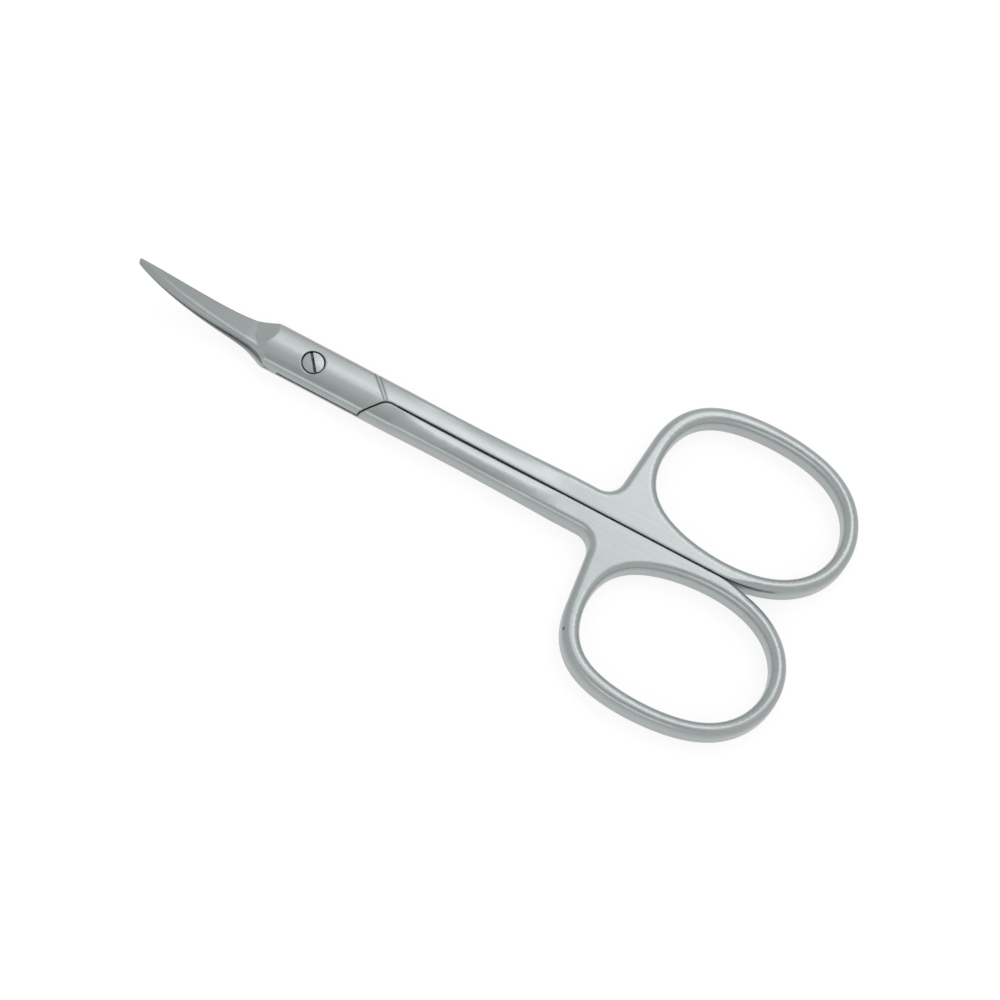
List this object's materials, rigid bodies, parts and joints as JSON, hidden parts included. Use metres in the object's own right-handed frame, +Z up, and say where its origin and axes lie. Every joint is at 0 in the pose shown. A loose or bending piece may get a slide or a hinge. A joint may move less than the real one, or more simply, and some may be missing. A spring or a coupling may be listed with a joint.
{
  "type": "cuticle scissors",
  "caption": "All-metal cuticle scissors with upturned tapering blades, a crowned joint on a slotted pivot screw, slim shanks and oval finger rings",
  "frame": {"origin": "on the pivot's axis, in the plane that the closed scissors rest on", "axes": "+X runs from the pivot to the finger rings, +Y to the front half's ring, +Z up along the pivot's axis"},
  "size_m": [0.089, 0.0396, 0.0072],
  "materials": {
    "front_steel": "satin",
    "rear_steel": "satin",
    "screw_steel": "satin"
  },
  "bodies": {
    "rear": {"rear_half": "rear_steel", "pivot_screw": "screw_steel"},
    "front": {"front_half": "front_steel"}
  },
  "joints": [
    {"name": "pivot", "type": "hinge", "parent": "rear", "child": "front", "pos_m": [0, 0, 0.00175], "axis": [0, 0, 1], "range_deg": [0, 145]}
  ]
}
